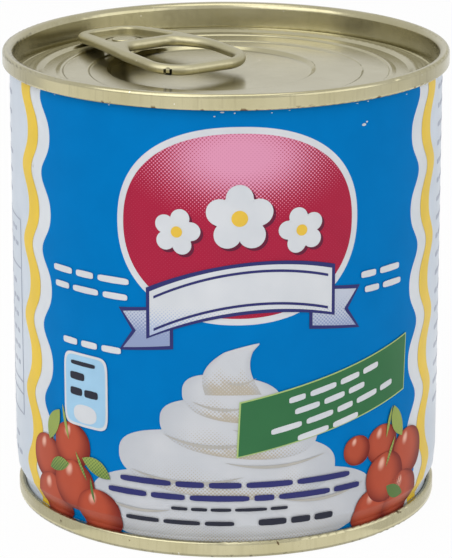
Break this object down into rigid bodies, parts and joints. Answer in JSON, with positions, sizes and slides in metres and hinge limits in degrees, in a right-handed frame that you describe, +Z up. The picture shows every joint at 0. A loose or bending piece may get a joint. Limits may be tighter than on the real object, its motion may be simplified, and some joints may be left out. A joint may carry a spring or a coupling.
{
  "type": "whipping cream can",
  "caption": "Short round steel food can with a ring-pull easy-open lid, a necked-in base and a printed side wall.",
  "frame": {"origin": "centre of the base, on the surface that the can stands on", "axes": "+Z up along the axis of the can, -Y towards the middle of the printed front, +X to the right seen from the front"},
  "size_m": [0.0758, 0.0758, 0.079],
  "materials": {
    "printed_wall": "tinplate, printed and varnished, semi-gloss",
    "lid_plate": "tinplate with pale gold lacquer, satin",
    "base_plate": "tinplate with pale gold lacquer, satin",
    "tab_plate": "tinplate with pale gold lacquer, satin"
  },
  "bodies": {
    "root": {"can_body": "printed_wall", "lid": "lid_plate", "bottom_end": "base_plate", "pull_tab": "tab_plate"}
  },
  "joints": []
}
